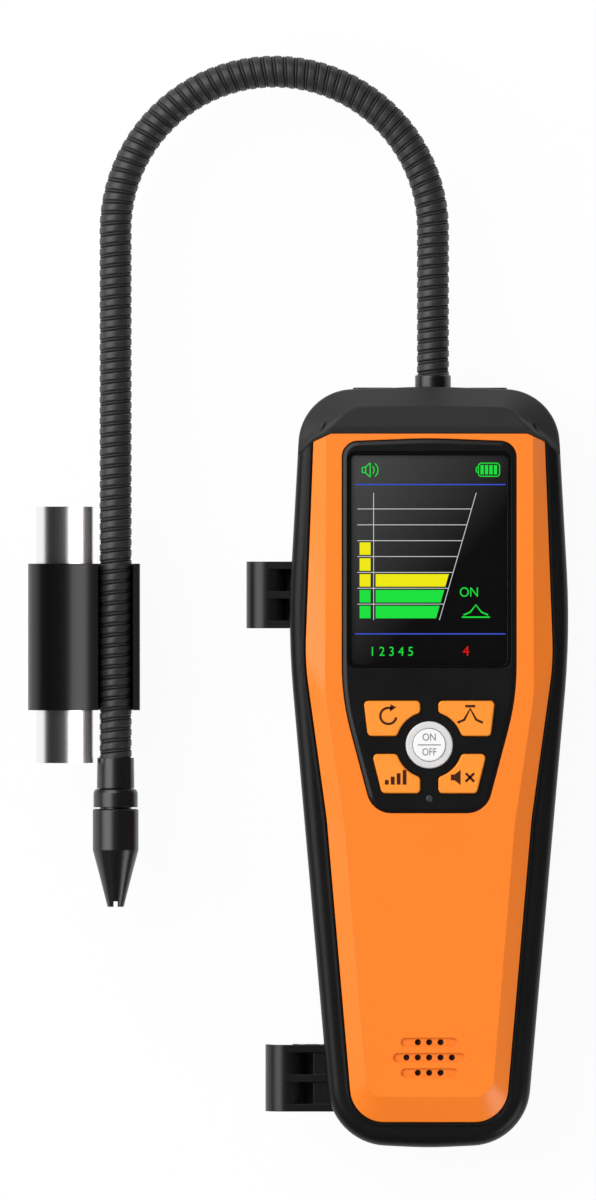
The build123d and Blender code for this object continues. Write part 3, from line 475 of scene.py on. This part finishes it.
def ribTree(look, finish):
    # winds a ribbed sleeve round a guide curve
    group = bpy.data.node_groups.new("woundSleeve", "GeometryNodeTree")
    tree = Tree(group)
    sides = group.interface
    sizes = {"Crest radius": look["crestRadius"], "Rib pitch": look["pitch"],
             "Groove depth": look["grooveDepth"], "Step": look["step"], "Wound before": 0.0}
    sides.new_socket("Guide", in_out="INPUT", socket_type="NodeSocketGeometry")
    for name, size in sizes.items():
        sides.new_socket(name, in_out="INPUT", socket_type="NodeSocketFloat").default_value = size
    sides.new_socket("Sleeve", in_out="OUTPUT", socket_type="NodeSocketGeometry")
    guide, crest, pitch, depth, step, before = tree.several("NodeGroupInput", ["Guide", *sizes])

    def stored(geometry, name, kind, value):
        return tree.add("GeometryNodeStoreNamedAttribute", {"data_type": kind, "domain": "POINT"},
                        {"Geometry": geometry, "Name": name, "Value": value})

    def named(name, kind):
        return tree.add("GeometryNodeInputNamedAttribute", {"data_type": kind}, {"Name": name})

    guide = tree.add("GeometryNodeResampleCurve", {"mode": "LENGTH"}, {"Curve": guide, "Length": step})
    guide = tree.add("GeometryNodeSetCurveNormal", {"mode": "Z_UP"}, {"Curve": guide})
    guide = stored(guide, "woundLength", "FLOAT", tree.add("GeometryNodeSplineParameter", out="Length"))
    guide = stored(guide, "centreLine", "FLOAT_VECTOR", tree.add("GeometryNodeInputPosition"))
    ring = tree.add("GeometryNodeCurvePrimitiveCircle", {"mode": "RADIUS"},
                    {"Resolution": look["sides"], "Radius": crest})
    ring = stored(ring, "turnShare", "FLOAT", tree.add("GeometryNodeSplineParameter", out="Factor"))
    sleeve = tree.add("GeometryNodeCurveToMesh", {}, {
        "Curve": guide, "Profile Curve": ring, "Fill Caps": True})
    # the grooves follow a helix and go straight towards the centre line
    phase = ((named("woundLength", "FLOAT") + before) / pitch - named("turnShare", "FLOAT")).fract()
    dip = tree.add("ShaderNodeFloatCurve", {"curve": look["profile"]}, {"Factor": 1.0, "Value": phase})
    sleeve = stored(sleeve, "grooveDepth", "FLOAT", dip)
    inward = tree.add("ShaderNodeVectorMath", {"operation": "SUBTRACT"}, {
        0: named("centreLine", "FLOAT_VECTOR"), 1: tree.add("GeometryNodeInputPosition")})
    inward = tree.add("ShaderNodeVectorMath", {"operation": "SCALE"}, {
        0: inward, "Scale": dip * depth / crest})
    sleeve = tree.add("GeometryNodeSetPosition", {}, {"Geometry": sleeve, "Offset": inward})
    # smooth all over, then flat on the end caps, the only faces with more than four corners
    sleeve = tree.add("GeometryNodeSetShadeSmooth", {}, {"Geometry": sleeve})
    corners = tree.add("GeometryNodeInputMeshFaceNeighbors", out="Vertex Count")
    sleeve = tree.add("GeometryNodeSetShadeSmooth", {}, {
        "Geometry": sleeve, "Selection": corners.above(4.0), "Shade Smooth": False})
    sleeve = tree.add("GeometryNodeRealizeInstances", {}, {"Geometry": sleeve})
    sleeve = tree.add("GeometryNodeSetMaterial", {}, {"Geometry": sleeve, "Material": finish})
    tree.node("NodeGroupOutput", {}, {0: sleeve})
    return group


def jointPlace(name):
    for joint in frame["joints"]:
        if joint["name"] == name:
            return Vector(joint["pos_m"])


def gooseneckRoute(root, crown):
    # centre line from the collar over the loop to the probe, in two parts for the two sleeves
    tuck, steps = gooseneckLook["tuck"], gooseneckLook["loopSteps"]
    radius = root.x - crown.x
    loopY = crown.y - radius
    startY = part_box("gooseneck_collar")[1].y - tuck
    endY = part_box("probe_sleeve")[1].y - tuck
    rise = [Vector((root.x, startY + t * (loopY - startY), root.z)) for t in (0, 0.5, 1)]
    loop = []
    for i in range(1, steps + 1):
        angle = math.pi * i / steps
        loop.append(Vector((crown.x + radius * math.cos(angle), loopY + radius * math.sin(angle), root.z)))
    leg = [Vector((crown.x - radius, loopY + t * (endY - loopY), root.z)) for t in (0.5, 1)]
    route = rise + loop + leg
    split = len(rise) + round(steps * gooseneckLook["splitTurn"] / 180)
    return route[:split + 1], route[split:]


def guideCurve(name, points):
    line = bpy.data.curves.new(name, "CURVE")
    line.dimensions = "3D"
    spline = line.splines.new("POLY")
    spline.points.add(len(points) - 1)
    for spot, point in zip(spline.points, points):
        spot.co = (*point, 1)
    guide = bpy.data.objects.new(name, line)
    bpy.context.scene.collection.objects.link(guide)
    return guide


def setInput(modifier, group, name, given):
    for item in group.interface.items_tree:
        if item.name == name and item.in_out == "INPUT":
            modifier[item.identifier] = given


def finishedMesh(source, name):
    # plain mesh object from a curve, a text or an object with modifiers, which then goes
    bpy.context.view_layer.update()
    evaluated = source.evaluated_get(bpy.context.evaluated_depsgraph_get())
    mesh = bpy.data.meshes.new_from_object(evaluated)
    piece = bpy.data.objects.new(name, mesh)
    bpy.context.scene.collection.objects.link(piece)
    bpy.data.objects.remove(source)
    return piece


def makeGooseneck():
    group = ribTree(gooseneckLook, ribRubber())
    root, crown = jointPlace("gooseneck_base_bend"), jointPlace("gooseneck_crown_bend")
    sleeves = []
    woundBefore = 0.0
    for name, points in zip(("gooseneckRootSleeve", "gooseneckCrownSleeve"), gooseneckRoute(root, crown)):
        guide = guideCurve(name + "Guide", points)
        modifier = guide.modifiers.new("sleeve", "NODES")
        modifier.node_group = group
        setInput(modifier, group, "Wound before", woundBefore)
        sleeves.append(finishedMesh(guide, name))
        woundBefore += sum((b - a).length for a, b in zip(points, points[1:]))
    rootSleeve, crownSleeve = sleeves
    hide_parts("gooseneck_lower")
    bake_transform(rootSleeve)
    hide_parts("gooseneck_upper")
    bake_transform(crownSleeve)


# Flat prints

def flatShape(outlines, z, thickness):
    # closed thin solid over each outline, given as a list of x, y
    mesh = bmesh.new()
    for outline in outlines:
        area = sum(a[0] * b[1] - b[0] * a[1] for a, b in zip(outline, outline[1:] + outline[:1]))
        points = outline if area > 0 else outline[::-1]
        low = [mesh.verts.new((x, y, z)) for x, y in points]
        high = [mesh.verts.new((x, y, z + thickness)) for x, y in points]
        mesh.faces.new(high)
        mesh.faces.new(low[::-1])
        count = len(points)
        for i in range(count):
            j = (i + 1) % count
            mesh.faces.new((low[i], low[j], high[j], high[i]))
    return mesh


def addPiece(name, mesh, finish, body):
    data = bpy.data.meshes.new(name)
    mesh.to_mesh(data)
    mesh.free()
    data.materials.append(finish)
    piece = bpy.data.objects.new(name, data)
    bpy.context.scene.collection.objects.link(piece)
    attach(piece, body)


def stroke(points, width):
    # outline of a line of some width through two or more points
    left, right = [], []
    for i, point in enumerate(points):
        before = Vector(points[max(i - 1, 0)])
        after = Vector(points[min(i + 1, len(points) - 1)])
        along = (after - before).normalized()
        side = Vector((-along.y, along.x)) * width / 2
        left.append(tuple(Vector(point) + side))
        right.append(tuple(Vector(point) - side))
    return left + right[::-1]


def arc(centre, radius, start, end, steps=14):
    # points along part of a circle, angles in degrees
    return [(centre[0] + radius * math.cos(math.radians(start + (end - start) * i / steps)),
             centre[1] + radius * math.sin(math.radians(start + (end - start) * i / steps)))
            for i in range(steps + 1)]


def rectangle(left, top, right, bottom):
    return [(left, top), (right, top), (right, bottom), (left, bottom)]


def closedLine(points, width):
    # a line of some width round a loop of points, as two halves
    half = len(points) // 2
    return [stroke(points[:half + 1], width), stroke(points[half:] + points[:1], width)]


def roundedBox(left, top, right, bottom, radius):
    # loop of points with round corners, v running down
    corners = ((right - radius, bottom - radius, 0), (left + radius, bottom - radius, 90),
               (left + radius, top + radius, 180), (right - radius, top + radius, 270))
    return [point for u, v, start in corners for point in arc((u, v), radius, start, start + 90, 5)]


capitalShare = 0.72  # height of a capital in the font, as a share of its size


def lettering(text, centre, height, z, thickness, stretch=1.0):
    # flat solid of plain capitals or figures, centred on a point
    curve = bpy.data.curves.new("letters", "FONT")
    curve.body = text
    curve.align_x, curve.align_y = "CENTER", "CENTER"
    curve.size = height / capitalShare
    curve.extrude = thickness / 2
    source = bpy.data.objects.new("letters", curve)
    bpy.context.scene.collection.objects.link(source)
    piece = finishedMesh(source, "letters")
    shift = Matrix.Translation((centre[0], centre[1], z + thickness / 2))
    piece.data.transform(shift @ Matrix.Diagonal((stretch, 1, 1, 1)))
    mesh = bmesh.new()
    mesh.from_mesh(piece.data)
    bmesh.ops.remove_doubles(mesh, verts=mesh.verts, dist=1e-7)
    bmesh.ops.recalc_face_normals(mesh, faces=mesh.faces)
    bpy.data.objects.remove(piece)
    return mesh


def join(*meshes):
    # several bmeshes as one
    whole = bmesh.new()
    for mesh in meshes:
        data = bpy.data.meshes.new("part")
        mesh.to_mesh(data)
        mesh.free()
        whole.from_mesh(data)
        bpy.data.meshes.remove(data)
    return whole


# Display picture, in millimetres from the upper left corner of the lit area

displayPicture = {
    "width": 36.6, "height": 49.1, "thickness": 0.03, "belowWindow": 0.08,
    "topRule": 6.8, "lowRule": 42.05, "ruleEnds": (0.76, 36.3), "ruleWidth": 0.3,
    "chartTop": 8.75, "chartLow": 38.75, "levelLine": 5.16, "slant": (29.4, 20.7), "line": 0.16,
    "firstRow": 12.56, "rowPitch": 3.745, "rows": 7, "rowStart": 1.35,
    "squares": (1.87, 4.45), "barStart": 5.65, "barGap": 0.9, "barDrop": 0.4, "barHeight": 2.95,
    # row, colour, and whether a wide bar lies beside the square
    "bars": ((2, "yellow", False), (3, "yellow", False), (4, "yellow", True),
             (5, "green", True), (6, "green", True)),
    # text, middle, height and stretch
    "greenSigns": (("ON", (27.7, 32.3), 2.3, 0.9), ("1 2 3 4 5", (9.4, 46.3), 2.2, 0.95)),
    "redSigns": (("4", (27.0, 46.2), 2.4, 1.0),),
}


def makeDisplayPicture():
    picture = displayPicture
    low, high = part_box("display_window")
    middle = (low + high) / 2
    left = middle.x - picture["width"] / 2 * mm
    top = middle.y + picture["height"] / 2 * mm
    z = low.z - picture["belowWindow"] * mm
    thickness, line = picture["thickness"] * mm, picture["line"]

    def spot(u, v):
        return (left + u * mm, top - v * mm)

    def shapes(outlines):
        return flatShape([[spot(u, v) for u, v in outline] for outline in outlines], z, thickness)

    def signs(rows):
        return [lettering(text, spot(*place), height * mm, z, thickness, stretch)
                for text, place, height, stretch in rows]

    def slantAt(v):
        share = (v - picture["chartTop"]) / (picture["chartLow"] - picture["chartTop"])
        return picture["slant"][0] + share * (picture["slant"][1] - picture["slant"][0])

    def show(name, mesh, colour):
        addPiece(name, mesh, glow(colour), "housing")

    rules = [stroke([(u, v) for u in picture["ruleEnds"]], picture["ruleWidth"])
             for v in (picture["topRule"], picture["lowRule"])]
    show("displayRules", shapes(rules), "blue")
    chartEnds = picture["chartTop"], picture["chartLow"]
    chart = [stroke([(picture["levelLine"], v) for v in chartEnds], line),
             stroke([(slantAt(v), v) for v in chartEnds], line)]
    for row in range(picture["rows"]):
        v = picture["firstRow"] + row * picture["rowPitch"]
        chart.append(stroke([(picture["rowStart"], v), (slantAt(v), v)], line))
    show("displayChart", shapes(chart), "white")
    bars = {"yellow": [], "green": []}
    first, last = picture["squares"]
    start, gap = picture["barStart"], picture["barGap"]
    for row, colour, wide in picture["bars"]:
        upper = picture["firstRow"] + row * picture["rowPitch"] + picture["barDrop"]
        lower = upper + picture["barHeight"]
        bars[colour].append(rectangle(first, upper, last, lower))
        if wide:
            bars[colour].append([(start, upper), (slantAt(upper) - gap, upper),
                                 (slantAt(lower) - gap, lower), (start, lower)])
    show("displayYellowBars", shapes(bars["yellow"]), "yellow")
    green = shapes(bars["green"] + speakerIcon() + batteryIcon() + peakIcon())
    show("displayGreenPicture", join(green, *signs(picture["greenSigns"])), "green")
    show("displayRedFigure", join(*signs(picture["redSigns"])), "red")


icons = {
    "line": 0.24,
    "cone": [(2.5, 2.75), (3.15, 2.75), (4.35, 1.7), (4.35, 5.0), (3.15, 3.95), (2.5, 3.95)],
    "coneBack": [(3.3, 2.7), (3.3, 4.0)],
    "waveMiddle": (4.2, 3.35), "waveRadii": (1.1, 2.0), "waveTurn": 50,
    "battery": (29.9, 1.75, 34.9, 4.85), "batteryCorner": 0.7,
    "batteryTip": [(29.75, 2.65), (29.4, 2.85), (29.4, 3.75), (29.75, 3.95)],
    "cell": (30.4, 2.2, 31.15, 4.4), "cellPitch": 1.05, "cellCount": 4,
    "peakLine": 0.34,
    "peakBase": [(26.0, 38.1), (32.6, 38.1)],
    "peak": [(26.4, 37.6), (28.0, 36.9), (29.3, 35.2), (30.6, 36.9), (32.2, 37.6)],
}


def speakerIcon():
    cone, turn = icons["cone"], icons["waveTurn"]
    lines = list(zip(cone, cone[1:] + cone[:1])) + [icons["coneBack"]]
    lines += [arc(icons["waveMiddle"], radius, -turn, turn) for radius in icons["waveRadii"]]
    return [stroke(points, icons["line"]) for points in lines]


def batteryIcon():
    left, top, right, bottom = icons["cell"]
    cells = [rectangle(left + icons["cellPitch"] * i, top, right + icons["cellPitch"] * i, bottom)
             for i in range(icons["cellCount"])]
    case = closedLine(roundedBox(*icons["battery"], icons["batteryCorner"]), icons["line"])
    return case + [stroke(icons["batteryTip"], icons["line"])] + cells


def peakIcon():
    # a small peak over its base line
    return [stroke(points, icons["peakLine"]) for points in (icons["peakBase"], icons["peak"])]


# Key marks, in millimetres from the middle of each mark

keyMarks = {
    "thickness": 0.03, "line": 0.58, "sunk": 0.01, "ink": (0.06, 0.014, 0.003, 1),
    # from the middle of the key to the middle of its mark
    "nudge": {"key_upper_left": (-0.9, 0.6), "key_upper_right": (0.9, 0.6),
              "key_lower_left": (-0.2, -0.9), "key_lower_right": (0.2, -0.9)},
}


def resetMark():
    # open ring with an arrow head
    return [stroke(arc((0, 0), 1.9, 60, 350, 28), keyMarks["line"]), [(0.35, 1.0), (1.9, 2.05), (0.5, 2.75)]]


def peakMark():
    # bell curve under a short bar
    line = keyMarks["line"]
    return [stroke([(-3.0, -1.6), (-1.4, -0.9), (0, 1.7), (1.4, -0.9), (3.0, -1.6)], line),
            stroke([(-1.2, 2.3), (1.2, 2.3)], line)]


def levelMark():
    # four rising bars
    return [rectangle(-2.6 + 1.4 * i, -1.7, -1.7 + 1.4 * i, -0.6 + 0.8 * i) for i in range(4)]


def muteMark():
    # sounder with a cross beside it
    line = keyMarks["line"]
    return [[(-2.8, -0.7), (-1.9, -0.7), (-1.9, 0.7), (-2.8, 0.7)],
            [(-1.9, -0.7), (-0.5, -1.8), (-0.5, 1.8), (-1.9, 0.7)],
            stroke([(0.7, -1.0), (2.7, 1.0)], line), stroke([(0.7, 1.0), (2.7, -1.0)], line)]


def markPlace(node):
    # middle of a key, and the height at which its mark starts
    low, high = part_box(node)
    return (low + high) / 2, high.z - keyMarks["sunk"] * mm


def makeKeyMarks():
    ink = inkPrint("keyInk", keyMarks["ink"])
    marks = {"key_upper_left": resetMark(), "key_upper_right": peakMark(),
             "key_lower_left": levelMark(), "key_lower_right": muteMark()}
    for node, outlines in marks.items():
        middle, z = markPlace(node)
        right, up = keyMarks["nudge"][node]
        placed = [[(middle.x + (right + u) * mm, middle.y + (up + v) * mm) for u, v in outline]
                  for outline in outlines]
        mesh = flatShape(placed, z, keyMarks["thickness"] * mm)
        addPiece(node.replace("key", "mark"), mesh, ink, node)


powerMark = {"ink": (0.14, 0.15, 0.16, 1), "height": 1.75, "away": 1.75, "ruleHalf": 2.7, "ruleWidth": 0.22,
             "stretch": {"ON": 0.85, "OFF": 0.8}}


def makePowerMark():
    # ON over OFF, with a rule between them
    middle, z = markPlace("power_key")
    thickness = keyMarks["thickness"] * mm
    away, half = powerMark["away"] * mm, powerMark["ruleHalf"] * mm
    words = [lettering(text, (middle.x, middle.y + rise), powerMark["height"] * mm, z, thickness,
                       powerMark["stretch"][text])
             for text, rise in (("ON", away), ("OFF", -away))]
    rule = stroke([(middle.x - half, middle.y), (middle.x + half, middle.y)], powerMark["ruleWidth"] * mm)
    addPiece("markPower", join(*words, flatShape([rule], z, thickness)),
             inkPrint("powerInk", powerMark["ink"]), "power_key")


# Studio

studio = {
    "lens": 500.0, "sensor": 36.0, "farthest": 20.0,
    "photoHeight": 1200, "middle": (298, 600), "origin": (429, 767),  # photograph pixels
    "pixel": 0.2365 * mm, "level": 26 * mm,  # a pixel's size at the height that the photograph is true for
    "floorHalf": 3.0, "floorDrop": 0.2 * mm, "floor": 0.90, "whiteness": 0.94,
    "floorGrain": (900, 2), "floorRough": (0.85, 0.95),
    "ambient": 0.36, "overhead": 0.02, "horizon": 0.35, "horizonRise": 0.14,
    "aim": (0, 0.05, 0),
}


def makeCamera():
    camera = bpy.data.cameras.new("camera")
    camera.lens = studio["lens"]
    camera.sensor_width = studio["sensor"]
    camera.clip_end = studio["farthest"]
    viewer = bpy.data.objects.new("camera", camera)
    bpy.context.scene.collection.objects.link(viewer)
    x = (studio["middle"][0] - studio["origin"][0]) * studio["pixel"]
    y = (studio["origin"][1] - studio["middle"][1]) * studio["pixel"]
    distance = studio["photoHeight"] * studio["pixel"] * studio["lens"] / studio["sensor"]
    viewer.location = (x, y, studio["level"] + distance)
    bpy.context.scene.camera = viewer


def makeFloor():
    finish = Finish("floorPaper", Base_Color=grey(studio["floor"]))
    finish.set("Roughness", finish.between(finish.noise(*studio["floorGrain"]), *studio["floorRough"]))
    # the paper looks near white, and keeps the shadow
    rays = finish.several("ShaderNodeLightPath", ("Is Camera Ray", "Is Glossy Ray", "Is Transmission Ray"))
    white = finish.add("ShaderNodeEmission", {}, {"Color": grey(1.0), "Strength": 1.0})
    paper = finish.add("ShaderNodeMixShader", {}, {
        0: sum(rays) * studio["whiteness"], 1: Value(finish, finish.shader.outputs[0]), 2: white})
    finish.feed(finish.out.inputs[0], paper)
    mesh = bmesh.new()
    bmesh.ops.create_grid(mesh, x_segments=1, y_segments=1, size=studio["floorHalf"])
    data = bpy.data.meshes.new("floor")
    mesh.to_mesh(data)
    mesh.free()
    data.materials.append(finish.material)
    data.transform(Matrix.Translation((0, 0, -studio["floorDrop"])))
    floor = bpy.data.objects.new("floor", data)
    bpy.context.scene.collection.objects.link(floor)


lamps = {
    "keyLight": {"lean": -40, "along": 0.42, "reach": 0.95, "size": (1.4, 0.98), "power": 14.6,
                 "spares": ("clip_tube", "pipe_clip")},
    "fillLight": {"lean": 55, "along": -0.26, "reach": 0.32, "size": (0.22, 0.18), "power": 0.45},
    "clipLight": {"lean": 42, "along": 0.04, "reach": 0.85, "size": (1.3, 0.95), "power": 10.5,
                  "lights": ("clip_tube", "pipe_clip")},
}


def softbox(name):
    item = lamps[name]
    lamp = bpy.data.lights.new(name, "AREA")
    lamp.shape = "RECTANGLE"
    lamp.size, lamp.size_y = item["size"]
    lamp.energy = item["power"]
    box = bpy.data.objects.new(name, lamp)
    bpy.context.scene.collection.objects.link(box)
    # it leans from upright, to the left where negative, and faces the object's middle
    lean = math.radians(item["lean"])
    spot = Vector((item["reach"] * math.sin(lean), item["along"], item["reach"] * math.cos(lean)))
    box.location = spot
    box.rotation_euler = (Vector(studio["aim"]) - spot).to_track_quat("-Z", "Y").to_euler()
    # it lights only some nodes, or all but some
    for key, state in (("lights", "INCLUDE"), ("spares", "EXCLUDE")):
        if key in item:
            chosen = bpy.data.collections.new(name + "Chosen")
            for node in item[key]:
                chosen.objects.link(frame["nodes"][node])
            for entry in chosen.collection_objects:
                entry.light_linking.link_state = state
            box.light_linking.receiver_collection = chosen


def makeWorld():
    world = bpy.data.worlds.new("studioAir")
    world.use_nodes = True
    bpy.context.scene.world = world
    air = Tree(world.node_tree)
    ambient = studio["ambient"]
    seen, glossy, through = air.several("ShaderNodeLightPath", (
        "Is Camera Ray", "Is Glossy Ray", "Is Transmission Ray"))
    # reflections see a dark room overhead and a lighter one at the horizon
    direction = air.add("ShaderNodeTexCoord", out="Generated")
    _, _, height = air.several("ShaderNodeSeparateXYZ", range(3), {0: direction})
    room = air.add("ShaderNodeMapRange", {"clamp": True, "interpolation_type": "SMOOTHSTEP"}, {
        0: height, 1: studio["horizonRise"], 2: 0.0, 3: studio["overhead"], 4: studio["horizon"]})
    strength = ambient + (seen + through) * (1 - ambient) + glossy * (room - ambient)
    sky = air.add("ShaderNodeBackground", {}, {"Color": grey(1.0), "Strength": strength})
    air.node("ShaderNodeOutputWorld", {}, {0: sky})


bpy.context.scene.view_settings.view_transform = "Standard"
makeCamera()
say("camera")
paintNodes()
say("finishes")
makeGooseneck()
say("gooseneck")
makeDisplayPicture()
makeKeyMarks()
makePowerMark()
say("display and marks")
makeFloor()
for lampName in lamps:
    softbox(lampName)
makeWorld()
say("studio")
